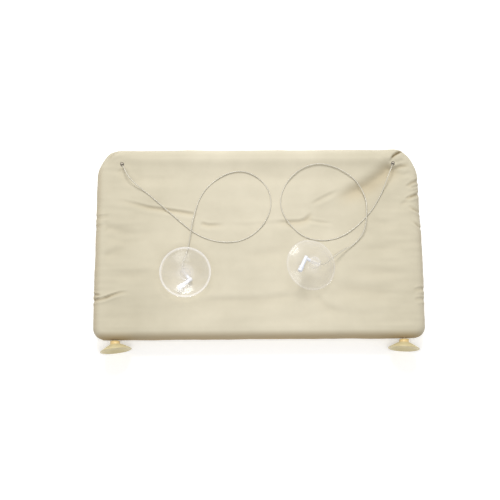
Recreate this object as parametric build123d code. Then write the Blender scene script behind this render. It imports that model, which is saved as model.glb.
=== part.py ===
from build123d import *
import math
import os

# Window perch: a fabric seat on a tube frame, hung from a pane by two wire cables with large
# suction cups and held off it below by two small ones. It is laid flat, as on a table.
# Seat frame: origin at the middle of the seat, X along the window, +Y to the front, +Z up.

# Seat
overall_length = 550.0
overall_depth = 330.0
tube_radius = 12.5
tube_wall = 2.5
fabric_thickness = 1.2
fabric_clearance = 0.3
front_bend_radius = 38.0
rear_bend_radius = 5.0
overrun = 1.0

# Frame fittings
spigot_length = 30.0
spigot_clearance = 0.15
spigot_wall = 2.0
elbow_leg = 30.0
elbow_core_depth = 2.0
rail_gap = 0.1

# Sewn closure under the rear edge
closure_inset = 50.0
closure_start = 6.0
closure_slot = 27.0
closure_lap = 50.0
strip_width = 25.0
strip_thickness = 1.2
strip_setback = 6.0

# Dent that the left upper cup presses into the seat
dent_floor_radius = 11.0
dent_reach = 66.0
dent_overrun = 0.1

# Lower suction cups and the studs that carry them
stud_radius = 3.0
stud_inset = 36.0
stud_engagement = 12.0
stud_gap = 2.0
stud_head_radius = 5.0
stud_head_thickness = 1.4
stud_head_setback = 0.6
stud_hole_clearance = 0.5
insert_radius = 4.5
insert_length = 13.0
insert_setback = 1.0
insert_fit = 0.05
stud_running_clearance = 0.05
neck_length = 5.0
neck_radius = 8.5
neck_waist_radius = 7.2
lower_cup_radius = 26.0
lower_cup_depth = 11.0
lower_cup_edge = 0.9
lower_cup_lip = 3.2
lower_cup_crown = 5.5
lower_cup_hub = 3.0
lower_cup_back_shares = (0.45, 0.36)
lower_cup_face_shares = (0.55, 0.2)
lower_cup_turn = {"left": 7.5, "right": 4.0}

# Upper suction cups
upper_cup_radius = 43.0
upper_cup_depth = 10.5
upper_cup_edge = 0.9
upper_cup_lip = 3.5
upper_cup_crown = 4.2
upper_cup_hub = 5.5
upper_cup_back_shares = (0.54, 0.66)
upper_cup_face_shares = (0.52, 0.76)
post_radius = 9.0
post_length = 12.5
post_rounding = 2.0
post_hole_radius = 3.0
post_hole_height = 15.5
left_cup_center = (-123.3, -55.5)
left_cup_rim_height = 10.0
left_hole_angle = 52.2
right_cup_center = (85.6, -45.6)
right_cup_tilt = 16.0
right_hole_angle = 154.0
cup_rest_gap = 0.3

# Cables, their anchors and their toggles
cable_radius = 0.8
anchor_bend_angle = 21.3
anchor_lean = 43.0
bush_radius = 2.3
bush_bore_clearance = 0.3
bush_head_radius = 3.4
bush_head_thickness = 1.2
bush_head_height = 7.0
bush_reach = 20.0
bush_seat_clearance = 0.1
stop_radius = 2.4
stop_length = 6.0
stop_gap = 0.3
toggle_length = 29.0
toggle_head_radius = 4.1
toggle_head_length = 10.0
toggle_bar_radius = 3.1
toggle_groove = 0.5
toggle_rounding = 0.6
toggle_stem_radius = 2.5
toggle_stem_reach = 9.0
toggle_stem_place = 25.5
left_toggle_stand = 12.6
left_toggle_tilt = 6.0
right_toggle_stand = 16.3

# Share of the shorter run that an arc of a cable takes
cable_share = 0.45

# Sizes that follow
half_thickness = tube_radius + fabric_clearance + fabric_thickness
rail_x = overall_length / 2 - half_thickness
rail_y = overall_depth / 2 - half_thickness
bore_radius = tube_radius - tube_wall
spigot_radius = bore_radius - spigot_clearance
spigot_bore = spigot_radius - spigot_wall
rear_edge = -overall_depth / 2
stud_x = overall_length / 2 - stud_inset
closure_half_length = overall_length / 2 - closure_inset
pivot_reach = stud_gap + neck_length / 2
rim_reach = pivot_reach + neck_length / 2 + lower_cup_depth
upper_cup_height = upper_cup_depth + post_length
left_cup_rim_z = half_thickness + left_cup_rim_height
dent_floor_z = left_cup_rim_z - upper_cup_height - cup_rest_gap
tilt = math.radians(right_cup_tilt)
right_cup_rim_z = half_thickness + cup_rest_gap + upper_cup_radius * math.sin(tilt)

# The seat lies on its front edge and on the rims of the two lower cups
rim_span = rail_y + overall_depth / 2 + rim_reach
rim_angle = math.atan2(lower_cup_radius, rim_span)
rest_drop = math.asin(half_thickness / math.hypot(rim_span, lower_cup_radius))
lean = math.degrees(rim_angle - rest_drop)

# Cable routes over the seat, from the anchor to the toggle
left_route = [
    (-235.43, 144.87, 4.06), (-230.36, 131.88, 19.02), (-221.4, 113.3, 19.6), (-208.0, 99.5, 16.8),
    (-193.5, 89.0, 15.2), (-178.0, 76.3, 15.1), (-155.4, 55.8, 15.1), (-131.0, 33.6, 15.1),
    (-108.5, 14.6, 15.1), (-84.4, 2.6, 15.1), (-57.0, -2.4, 15.1), (-28.9, 0.2, 15.1),
    (-2.9, 15.4, 15.1), (15.6, 40.0, 15.1), (22.9, 66.0, 15.1), (18.0, 92.0, 15.1),
    (2.6, 111.8, 15.1), (-17.2, 123.0, 15.1), (-35.5, 124.8, 15.1), (-55.3, 119.6, 15.1),
    (-74.8, 107.4, 15.1), (-91.6, 90.4, 15.1), (-101.9, 71.0, 15.4), (-107.4, 52.3, 17.6),
    (-111.8, 33.5, 20.5), (-115.4, 8.5, 20.5), (-118.8, -10.5, 15.4), (-124.8, -29.0, 11.0),
    (-131.57, -44.83, 8.5), (-121.11, -58.32, 8.5),
]
right_route = [
    (235.43, 144.87, 4.06), (230.36, 131.88, 19.02), (222.5, 112.8, 19.6), (215.9, 95.4, 16.6),
    (207.6, 77.0, 15.1), (191.9, 51.6, 15.1), (166.0, 24.2, 15.1), (138.6, 5.6, 15.1),
    (107.4, -1.0, 15.1), (75.6, 5.8, 15.1), (50.6, 30.2, 15.1), (37.8, 57.0, 15.1),
    (37.8, 79.6, 15.1), (49.6, 106.0, 15.1), (69.0, 125.8, 15.1), (90.4, 135.4, 15.1),
    (112.4, 137.2, 15.1), (140.8, 128.2, 15.1), (164.3, 110.6, 15.1), (177.6, 92.4, 15.4),
    (182.4, 76.0, 17.6), (184.3, 60.0, 20.5), (181.9, 30.0, 20.5), (176.2, 11.6, 16.6),
    (161.5, -6.6, 15.1), (138.4, -19.4, 18.0), (119.0, -36.0, 25.5), (101.10, -51.30, 37.83),
    (83.57, -42.40, 42.86),
]


def rod(start, end, radius):
    """A round bar from one point to another."""
    span = Vector(*end) - Vector(*start)
    seat = Plane(origin=Vector(*start), z_dir=span)
    return seat * Cylinder(radius, span.length, align=(Align.CENTER, Align.CENTER, Align.MIN))


def bent_pipe(radius):
    """A quarter turn of round bar at the front right corner."""
    center = (rail_x - front_bend_radius, rail_y - front_bend_radius, 0)
    start = Plane(origin=(rail_x, center[1], 0), x_dir=(1, 0, 0), z_dir=(0, -1, 0))
    return revolve(start * Circle(radius), Axis(center, (0, 0, 1)), revolution_arc=90)


def both_sides(right):
    """The right-hand solid and its mirror image on the left."""
    return {"right": right, "left": mirror(right, about=Plane.YZ)}


# Frame

def front_bend():
    side_end = rail_y - front_bend_radius
    front_end = rail_x - front_bend_radius
    spigots = rod((rail_x, side_end, 0), (rail_x, side_end - spigot_length, 0), spigot_radius)
    spigots += rod((front_end, rail_y, 0), (front_end - spigot_length, rail_y, 0), spigot_radius)
    reach = spigot_length + overrun
    bores = rod((rail_x, side_end, 0), (rail_x, side_end - reach, 0), spigot_bore)
    bores += rod((front_end, rail_y, 0), (front_end - reach, rail_y, 0), spigot_bore)
    seat = anchor_plane()
    hole = upright(bush_radius + bush_seat_clearance, 0, tube_radius + overrun)
    return bent_pipe(tube_radius) + spigots - bent_pipe(spigot_bore) - bores - seat * hole


def rear_corner():
    corner_x = rail_x - rear_bend_radius
    corner_y = -rail_y + rear_bend_radius
    leg_x = corner_x - elbow_leg
    leg_y = corner_y + elbow_leg
    body = rod((corner_x, -rail_y, 0), (leg_x, -rail_y, 0), tube_radius)
    body += rod((rail_x, corner_y, 0), (rail_x, leg_y, 0), tube_radius)
    body = Pos(corner_x, corner_y, 0) * round_corner(rear_bend_radius, tube_radius) + body
    body += rod((leg_x, -rail_y, 0), (leg_x - spigot_length, -rail_y, 0), spigot_radius)
    body += rod((rail_x, leg_y, 0), (rail_x, leg_y + spigot_length, 0), spigot_radius)
    reach = spigot_length + overrun
    body -= rod((leg_x + elbow_core_depth, -rail_y, 0), (leg_x - reach, -rail_y, 0), spigot_bore)
    body -= rod((rail_x, leg_y - elbow_core_depth, 0), (rail_x, leg_y + reach, 0), spigot_bore)
    insert_end = -rail_y - tube_radius + insert_setback + insert_length
    return body - rod((stud_x, insert_end, 0), (stud_x, rear_edge, 0), insert_radius + insert_fit)


def round_corner(core, half):
    """A quarter of a disc with a fully rounded rim, towards +X and -Y."""
    outline = Polyline((core, half), (0, half), (0, -half), (core, -half))
    outline += ThreePointArc((core, -half), (core + half, 0), (core, half))
    return Rot(0, 0, -90) * revolve(make_face(Plane.XZ * outline), Axis.Z, revolution_arc=90)


def rail(start, end):
    return rod(start, end, tube_radius) - rod(start, end, bore_radius)


def rails():
    front_x = rail_x - front_bend_radius - rail_gap
    rear_x = rail_x - rear_bend_radius - elbow_leg - rail_gap
    side_front = rail_y - front_bend_radius - rail_gap
    side_rear = -rail_y + rear_bend_radius + elbow_leg + rail_gap
    return {
        "front_rail": rail((-front_x, rail_y, 0), (front_x, rail_y, 0)),
        "rear_rail": rail((-rear_x, -rail_y, 0), (rear_x, -rail_y, 0)),
        "left_side_rail": rail((-rail_x, side_rear, 0), (-rail_x, side_front, 0)),
        "right_side_rail": rail((rail_x, side_rear, 0), (rail_x, side_front, 0)),
    }


# Cable anchors in the front bends

def anchor_plane():
    """Local Z leaves the right bend's centre line, up and towards the seat."""
    turn = math.radians(anchor_bend_angle)
    slope = math.radians(anchor_lean)
    center_x = rail_x - front_bend_radius + front_bend_radius * math.sin(turn)
    center_y = rail_y - front_bend_radius + front_bend_radius * math.cos(turn)
    inward = Vector(-math.sin(turn), -math.cos(turn), 0) * math.sin(slope)
    return Plane(origin=(center_x, center_y, 0), z_dir=inward + Vector(0, 0, math.cos(slope)))


def upright(radius, low, high):
    """A round bar along local Z."""
    bar = Cylinder(radius, high - low, align=(Align.CENTER, Align.CENTER, Align.MIN))
    return Pos(0, 0, low) * bar


def cable_bush():
    head_low = bush_head_height - bush_head_thickness
    bush = upright(bush_head_radius, head_low, bush_head_height)
    bush += upright(bush_radius, head_low, bush_reach)
    bush -= upright(cable_radius + bush_bore_clearance, 0, bush_reach + overrun)
    return anchor_plane() * bush


def cable_stop():
    stop_top = bush_head_height - bush_head_thickness - stop_gap
    return anchor_plane() * upright(stop_radius, stop_top - stop_length, stop_top)


# Fabric cover

def seat_plan():
    """The seat's plan along the middle of its tubes."""
    plan = Rectangle(2 * rail_x, 2 * rail_y)
    plan = fillet(plan.vertices().group_by(Axis.Y)[-1], front_bend_radius)
    return fillet(plan.vertices().group_by(Axis.Y)[0], rear_bend_radius)


def rounded_slab(half):
    """The seat's plan with fully rounded edges, of the given half thickness."""
    plan = seat_plan()
    path = plan.faces()[0].outer_wire()
    start = Plane(origin=path @ 0, z_dir=path % 0, x_dir=(0, 0, 1))
    outline = Polyline((half, 0), (-half, 0))
    outline += ThreePointArc((-half, 0), (0, half), (half, 0))
    rim = sweep(start * make_face(outline), path=path)
    return extrude(plan, amount=half, both=True) + rim


def dent(drop):
    """The hollow under the left upper cup, lowered by the given depth."""
    low = dent_floor_z - drop
    high = half_thickness + dent_overrun - drop
    top = half_thickness + overrun
    width = (dent_reach - dent_floor_radius) / 2
    rise = (high - low) / 2
    radius = (width ** 2 + rise ** 2) / (2 * rise)
    half_turn = math.asin(width / radius) / 2
    step = radius * math.sin(half_turn)
    lift = radius * (1 - math.cos(half_turn))
    middle = (dent_floor_radius + width, low + rise)
    outline = Polyline((0, top), (0, low), (dent_floor_radius, low))
    outline += ThreePointArc((dent_floor_radius, low), (dent_floor_radius + step, low + lift), middle)
    outline += ThreePointArc(middle, (dent_reach - step, high - lift), (dent_reach, high))
    outline += Polyline((dent_reach, high), (dent_reach, top), (0, top))
    return Pos(*left_cup_center, 0) * revolve(make_face(Plane.XZ * outline), Axis.Z)


def closure_flap():
    """The fold of the cover that laps over the slot under the rear edge."""
    inner_z = -half_thickness - 2 * strip_thickness
    outer_z = inner_z - fabric_thickness
    root = -rail_y
    lap_start = root + closure_start + closure_slot
    lap_end = lap_start + closure_lap
    outline = Polyline(
        (root, -half_thickness), (lap_start, outer_z), (lap_end, outer_z), (lap_end, inner_z),
        (lap_start, inner_z), (root, -half_thickness + fabric_thickness), close=True)
    section = Plane(origin=(-closure_half_length, 0, 0), x_dir=(0, 1, 0), z_dir=(1, 0, 0))
    return extrude(section * make_face(outline), amount=2 * closure_half_length)


def closure_strip(layer):
    """One of the two fastening strips, counted down from the cover."""
    start = -rail_y + closure_start + closure_slot + strip_setback
    strip = Box(2 * closure_half_length, strip_width, strip_thickness,
                align=(Align.CENTER, Align.MIN, Align.MAX))
    return Pos(0, start, -half_thickness - layer * strip_thickness) * strip


def cover():
    skin = rounded_slab(half_thickness) - dent(0)
    hollow = rounded_slab(half_thickness - fabric_thickness) - dent(fabric_thickness)
    shell = skin - hollow
    slot_low = (-closure_half_length, -rail_y + closure_start)
    slot = Box(2 * closure_half_length, closure_slot, fabric_thickness + overrun,
               align=(Align.MIN, Align.MIN, Align.MAX))
    shell -= Pos(*slot_low, -half_thickness + fabric_thickness) * slot
    shell += closure_flap()
    cable_hole = upright(bush_radius + fabric_clearance, tube_radius, bush_reach + overrun)
    shell -= anchor_plane() * cable_hole
    shell -= mirror(anchor_plane() * cable_hole, about=Plane.YZ)
    for side_x in (-stud_x, stud_x):
        mouth = (side_x, rear_edge - overrun, 0)
        shell -= rod(mouth, (side_x, -rail_y, 0), stud_radius + stud_hole_clearance)
    return shell


# Lower suction cups

def stud_plane(side_x):
    """Local Z leaves the cover's rear edge towards the window."""
    return Plane(origin=(side_x, rear_edge, 0), x_dir=(1, 0, 0), z_dir=(0, -1, 0))


def stud_insert(side_x):
    outer_end = rear_edge + half_thickness - tube_radius + insert_setback
    ring = upright(insert_radius, 0, insert_length)
    ring -= upright(stud_radius + stud_running_clearance, -overrun, insert_length + overrun)
    return Plane(origin=(side_x, outer_end, 0), z_dir=(0, 1, 0)) * ring


def lower_stud(side_x):
    head_low = stud_gap + stud_head_setback
    body = upright(stud_radius, -stud_engagement, head_low)
    body += upright(stud_head_radius, head_low, head_low + stud_head_thickness)
    return stud_plane(side_x) * body


def cup_pivot(side, side_x):
    """Local Z is the lower cup's axis, from the middle of its neck out."""
    turn = math.radians(lower_cup_turn[side])
    inward = -1 if side_x > 0 else 1
    axis = (inward * math.sin(turn), -math.cos(turn), 0)
    return Plane(origin=(side_x, rear_edge - pivot_reach, 0), x_dir=(0, 0, 1), z_dir=axis)


def lower_neck(side, side_x):
    pivot = cup_pivot(side, side_x)
    root = stud_plane(side_x) * Pos(0, 0, stud_gap) * Circle(neck_radius)
    waist = pivot * Circle(neck_waist_radius)
    end = pivot * Pos(0, 0, neck_length / 2) * Circle(neck_radius)
    return loft([root, waist, end]) - lower_stud(side_x)


def lower_cup(side, side_x):
    back = neck_length / 2
    rim = back + lower_cup_depth
    crown = back + lower_cup_crown
    lip_radius = lower_cup_radius - lower_cup_lip
    flare = lower_cup_radius - neck_radius
    back_share, back_rise_share = lower_cup_back_shares
    face_share, face_rise_share = lower_cup_face_shares
    outer_middle = (neck_radius + flare * back_share, back + lower_cup_depth * back_rise_share)
    inner_middle = (lip_radius * face_share, crown + (rim - crown) * face_rise_share)
    outline = Polyline((lower_cup_hub, crown), (0, crown), (0, back), (neck_radius, back))
    outer_end = (lower_cup_radius, rim - lower_cup_edge)
    outline += ThreePointArc((neck_radius, back), outer_middle, outer_end)
    outline += Polyline(outer_end, (lower_cup_radius, rim), (lip_radius, rim))
    outline += ThreePointArc((lip_radius, rim), inner_middle, (lower_cup_hub, crown))
    return cup_pivot(side, side_x) * revolve(make_face(Plane.XZ * outline), Axis.Z)


# Upper suction cups, local Z from the rim plane to the end of the post

def upper_cup(hole_angle):
    top = upper_cup_height
    crown = upper_cup_depth - upper_cup_crown
    lip_radius = upper_cup_radius - upper_cup_lip
    outer_start = (upper_cup_radius, upper_cup_edge)
    flare = upper_cup_radius - post_radius
    back_share, back_rise_share = upper_cup_back_shares
    face_share, face_rise_share = upper_cup_face_shares
    outer_middle = (post_radius + flare * back_share, upper_cup_depth * back_rise_share)
    inner_middle = (lip_radius * face_share, crown * face_rise_share)
    round_off = post_rounding * (1 - math.sqrt(0.5))
    outline = Polyline((upper_cup_hub, crown), (0, crown), (0, top), (post_radius - post_rounding, top))
    outline += ThreePointArc(
        (post_radius - post_rounding, top), (post_radius - round_off, top - round_off),
        (post_radius, top - post_rounding))
    outline += Polyline((post_radius, top - post_rounding), (post_radius, upper_cup_depth))
    outline += ThreePointArc((post_radius, upper_cup_depth), outer_middle, outer_start)
    outline += Polyline(outer_start, (upper_cup_radius, 0), (lip_radius, 0))
    outline += ThreePointArc((lip_radius, 0), inner_middle, (upper_cup_hub, crown))
    cup = revolve(make_face(Plane.XZ * outline), Axis.Z)
    reach = post_radius + overrun
    hole = rod((-reach, 0, post_hole_height), (reach, 0, post_hole_height), post_hole_radius)
    return cup - Rot(0, 0, hole_angle) * hole


def left_cup_seat():
    """The left upper cup lies face up, its post in the dent."""
    return Pos(*left_cup_center, left_cup_rim_z) * Rot(180, 0, 0)


def right_cup_seat():
    """The right upper cup lies face down, tipped over its right-hand rim."""
    return Pos(*right_cup_center, right_cup_rim_z) * Rot(0, right_cup_tilt, 0)


def toggle():
    """Local X runs along the bar from its thick end, local Y along the stem."""
    groove_x = toggle_head_length / 2
    head = toggle_head_radius
    bar = toggle_bar_radius
    rounding = toggle_rounding
    outline = Polyline(
        (0, 0), (0, head - rounding), (rounding, head), (groove_x - toggle_groove, head),
        (groove_x, head - toggle_groove), (groove_x + toggle_groove, head),
        (toggle_head_length - rounding, head), (toggle_head_length, bar),
        (toggle_length - rounding, bar), (toggle_length, bar - rounding), (toggle_length, 0),
        close=True)
    body = revolve(make_face(outline), Axis.X)
    stem = (toggle_stem_place, toggle_stem_reach, 0)
    return body + rod((toggle_stem_place, 0, 0), stem, toggle_stem_radius)


def toggle_seat(hole_angle, stand, end_tilt):
    """A toggle in a cup's frame: its stem points at the post through the cross hole."""
    at_stem = Pos(-toggle_stem_place, -stand, 0)
    along = Pos(0, 0, post_hole_height) * Rot(0, 0, hole_angle + 90)
    return along * Rot(0, 180 + end_tilt, 0) * at_stem


# Cables

def cable(name, points):
    corners = [Vector(*point) for point in points]
    runs = [after - before for before, after in zip(corners, corners[1:])]
    radii = []
    for before, after in zip(runs, runs[1:]):
        half_turn = math.radians(before.get_angle(after)) / 2
        radii.append(cable_share * min(before.length, after.length) / math.tan(half_turn))
    path = FilletPolyline(*points, radius=radii)
    seat = Plane(origin=corners[0], z_dir=runs[0])
    tube = sweep(seat * Circle(cable_radius), path=path)
    section = math.pi * cable_radius ** 2
    print(name, "length", round(path.length, 1), "least radius", round(min(radii), 1))
    print(name, "volume over section times length", round(tube.volume / (section * path.length), 5))
    return tube


# The whole perch, in the seat frame

sides = {"left": -stud_x, "right": stud_x}
pieces = {
    "cover": cover(),
    "loop_strip": closure_strip(0),
    "hook_strip": closure_strip(1),
}
pieces.update(rails())
for side, solid in both_sides(front_bend()).items():
    pieces[f"front_{side}_bend"] = solid
for side, solid in both_sides(rear_corner()).items():
    pieces[f"rear_{side}_corner"] = solid
for side, solid in both_sides(cable_bush()).items():
    pieces[f"{side}_cable_bush"] = solid
for side, solid in both_sides(cable_stop()).items():
    pieces[f"{side}_cable_stop"] = solid
for side, side_x in sides.items():
    pieces[f"{side}_stud_insert"] = stud_insert(side_x)
    pieces[f"{side}_lower_stud"] = lower_stud(side_x)
    pieces[f"{side}_lower_neck"] = lower_neck(side, side_x)
    pieces[f"{side}_lower_cup"] = lower_cup(side, side_x)
left_toggle_seat = toggle_seat(left_hole_angle, left_toggle_stand, left_toggle_tilt)
right_toggle_seat = toggle_seat(right_hole_angle, right_toggle_stand, 0)
pieces["left_upper_cup"] = left_cup_seat() * upper_cup(left_hole_angle)
pieces["right_upper_cup"] = right_cup_seat() * upper_cup(right_hole_angle)
pieces["left_toggle"] = left_cup_seat() * left_toggle_seat * toggle()
pieces["right_toggle"] = right_cup_seat() * right_toggle_seat * toggle()
pieces["left_cable"] = cable("left_cable", left_route)
pieces["right_cable"] = cable("right_cable", right_route)

# Laid at rest, with the origin at the middle of the footprint

laid = {name: Rot(-lean, 0, 0) * solid for name, solid in pieces.items()}
footprint = Compound([part for name in ("cover", "left_lower_cup", "right_lower_cup")
                      for part in laid[name].solids()]).bounding_box()
shift = Pos(-footprint.center().X, -footprint.center().Y, -footprint.min.Z)
print("lean", round(lean, 4), "shift", shift.position)

os.makedirs("parts", exist_ok=True)
for name, solid in laid.items():
    export_step(shift * solid, f"parts/{name}.step")
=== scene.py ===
"""Looks of a window mounted cat perch, laid flat on a table.

Shapes are made in millimetres in the seat's frame: origin at the middle of the seat, X along the
window, +Y to the front edge and +Z up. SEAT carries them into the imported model's frame.
"""
import cmath
import math

import bmesh
import bpy
import numpy as np
from mathutils import Matrix, Vector, noise


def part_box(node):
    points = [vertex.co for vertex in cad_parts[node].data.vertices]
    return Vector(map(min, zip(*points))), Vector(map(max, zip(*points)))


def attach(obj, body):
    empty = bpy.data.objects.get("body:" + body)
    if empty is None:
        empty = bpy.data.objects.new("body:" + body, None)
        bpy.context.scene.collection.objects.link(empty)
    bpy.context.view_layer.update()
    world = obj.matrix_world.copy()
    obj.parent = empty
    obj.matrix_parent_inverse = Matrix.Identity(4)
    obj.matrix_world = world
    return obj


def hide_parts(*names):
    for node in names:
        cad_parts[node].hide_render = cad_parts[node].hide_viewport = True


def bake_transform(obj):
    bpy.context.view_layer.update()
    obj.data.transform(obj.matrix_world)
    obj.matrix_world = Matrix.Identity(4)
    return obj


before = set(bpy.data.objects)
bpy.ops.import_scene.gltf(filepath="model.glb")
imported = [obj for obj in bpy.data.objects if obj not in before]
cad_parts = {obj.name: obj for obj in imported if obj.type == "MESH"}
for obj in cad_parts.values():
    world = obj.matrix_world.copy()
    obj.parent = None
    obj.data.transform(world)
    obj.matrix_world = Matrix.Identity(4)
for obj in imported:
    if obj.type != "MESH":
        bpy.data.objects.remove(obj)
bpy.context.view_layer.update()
scene = bpy.context.scene

# The seat as in the CAD model, in millimetres
RAIL_X, RAIL_Y = 261, 151  # the tubes' centre lines
FRONT_BEND, REAR_BEND = 38, 5  # the centre line's radii at the corners
HALF = 14  # half the seat's thickness
TUBE = 12.5  # the tubes' radius
CLOTH = 1.1  # the cover's thickness
STUD_X = 239
CLOSURE_X = 225  # half the length of the slot and the flap


def seat_matrix():
    """The seat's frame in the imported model's frame, found from the two long rails."""
    front = sum(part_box("front_rail"), Vector()) / 2
    rear = sum(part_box("rear_rail"), Vector()) / 2
    along = Vector((1, 0, 0))
    ahead = (front - rear).normalized()
    axes = Matrix((along, ahead, along.cross(ahead))).transposed()
    return Matrix.Translation((front + rear) / 2) @ axes.to_4x4() @ Matrix.Scale(0.001, 4)


SEAT = seat_matrix()


def add_object(name, data):
    made = bpy.data.objects.new(name, data)
    scene.collection.objects.link(made)
    return made


def mesh_of(name, points, faces):
    mesh = bpy.data.meshes.new(name)
    mesh.from_pydata(points, [], faces)
    return mesh


def turned(angle, axis):
    return Matrix.Rotation(math.radians(angle), 4, axis)


def on_circle(radius, turn, height=0):
    return radius * math.cos(turn), radius * math.sin(turn), height


# Camera, floor and light

CAMERA_TURN, CAMERA_RISE, CAMERA_ROLL = -5, 75, 4.5439  # degrees
CAMERA_AIM, CAMERA_AWAY = (-14.8427, -12.3241, 0), 1755
LENS, SENSOR = 74.7066, 36
FLOOR_REACH, LAMP_SIZE = 3, 1.2  # metres


def add_camera():
    """The photograph's view: high over the window side, from a little to the left."""
    place = (SEAT @ Matrix.Translation(CAMERA_AIM) @ turned(CAMERA_TURN, "Z")
             @ turned(90 - CAMERA_RISE, "X") @ turned(CAMERA_ROLL, "Z")
             @ Matrix.Translation((0, 0, CAMERA_AWAY)))
    data = bpy.data.cameras.new("camera")
    data.sensor_width, data.lens = SENSOR, LENS
    scene.camera = add_object("camera", data)
    scene.camera.matrix_world = Matrix.LocRotScale(place.translation, place.to_quaternion(), None)


def add_lamp(name, place, power):
    """A round lamp aimed at the middle of the floor."""
    data = bpy.data.lights.new(name, "AREA")
    data.shape, data.size, data.energy = "DISK", LAMP_SIZE, power
    lamp = add_object(name, data)
    lamp.location = place
    lamp.rotation_mode = "QUATERNION"
    lamp.rotation_quaternion = (-Vector(place)).to_track_quat("-Z", "Y")


def add_floor():
    corners = [(x * FLOOR_REACH, y * FLOOR_REACH, 0)
               for x, y in ((-1, -1), (1, -1), (1, 1), (-1, 1))]
    floor = add_object("floor", mesh_of("floor", corners, [(0, 1, 2, 3)]))
    material, _, _ = paint("floor", (0.93, 0.93, 0.93), 0.9, Specular_IOR_Level=0.1,
                           Emission_Color=(1, 1, 1, 1), Emission_Strength=0.28)
    floor.data.materials.append(material)


def add_light():
    world = bpy.data.worlds.new("studio")
    world.use_nodes = True
    background = world.node_tree.nodes["Background"]
    background.inputs["Color"].default_value = (1, 0.99, 0.98, 1)
    background.inputs["Strength"].default_value = 0.48
    scene.world = world
    add_lamp("key", (-0.15, 1.8, 1.85), 47)
    add_lamp("top", (0, -0.6, 2.3), 18)
    scene.view_settings.view_transform = "Standard"


# Materials. Lengths in them are in metres.

# Where the painted shade along the rear edge and the sides starts and is full, from the seat's
# middle
REAR_SHADE, LEFT_SHADE, RIGHT_SHADE = (0.139, 0.1565), (0.262, 0.277), (0.266, 0.278)
# Where the painted shade towards both ends starts and is full
ENDS_SHADE = (0.07, 0.24)
# The upper cups' frosted rim and solid middle, from their axis
CUP_RIM, CUP_MIDDLE = (0.0387, 0.0405), (0.019, 0.004)
STRANDS, TWISTS = 6, 360


def paint(name, color, roughness, **inputs):
    """A material whose even values sit on the shader's own sockets. In their names _ is a space."""
    material = bpy.data.materials.new(name)
    material.use_nodes = True
    shader = material.node_tree.nodes["Principled BSDF"]
    shader.inputs["Base Color"].default_value = (*color, 1)
    shader.inputs["Roughness"].default_value = roughness
    for key, value in inputs.items():
        shader.inputs[key.replace("_", " ")].default_value = value
    return material, material.node_tree, shader


def put(tree, socket, value):
    """Link an output, or a node's first one, to a socket, or set the socket's value."""
    if isinstance(value, bpy.types.Node):
        value = value.outputs[0]
    if isinstance(value, bpy.types.NodeSocket):
        tree.links.new(value, socket)
    else:
        socket.default_value = value


def add_node(tree, kind, *values, **settings):
    """A node, with its first inputs in order and its properties and further inputs by name."""
    made = tree.nodes.new("ShaderNode" + kind)
    for socket, value in zip(made.inputs, values):
        put(tree, socket, value)
    for key, value in settings.items():
        if hasattr(made, key):
            setattr(made, key, value)
        else:
            put(tree, made.inputs[key], value)
    return made


def math_node(tree, operation, *values):
    return add_node(tree, "Math", *values, operation=operation)


def times(tree, first, second):
    return math_node(tree, "MULTIPLY", first, second)


def noise_node(tree, place, scale, detail=2, roughness=0.5):
    return add_node(tree, "TexNoise", Vector=place, Scale=scale, Detail=detail,
                    Roughness=roughness)


def shade(tree, shader, factor, dark, light):
    """The base colour between two colours, by a factor."""
    ramp = add_node(tree, "ValToRGB", factor)
    for element, color in zip(ramp.color_ramp.elements, (dark, light)):
        element.color = (*color, 1)
    put(tree, shader.inputs["Base Color"], ramp)
    return ramp


def bump(tree, shader, height, distance, strength):
    """Height in units of distance."""
    made = add_node(tree, "Bump", Height=height, Distance=distance, Strength=strength)
    put(tree, shader.inputs["Normal"], made)
    return made


def span(tree, value, low, high):
    """0 at low, 1 at high and smooth between."""
    return add_node(tree, "MapRange", value, low, high, interpolation_type="SMOOTHSTEP")


def split(tree, place):
    return add_node(tree, "SeparateXYZ", place).outputs


def object_place(tree):
    return add_node(tree, "TexCoord").outputs["Object"]


def uv_place(tree, name="UVMap"):
    return add_node(tree, "UVMap", uv_map=name)


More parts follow.
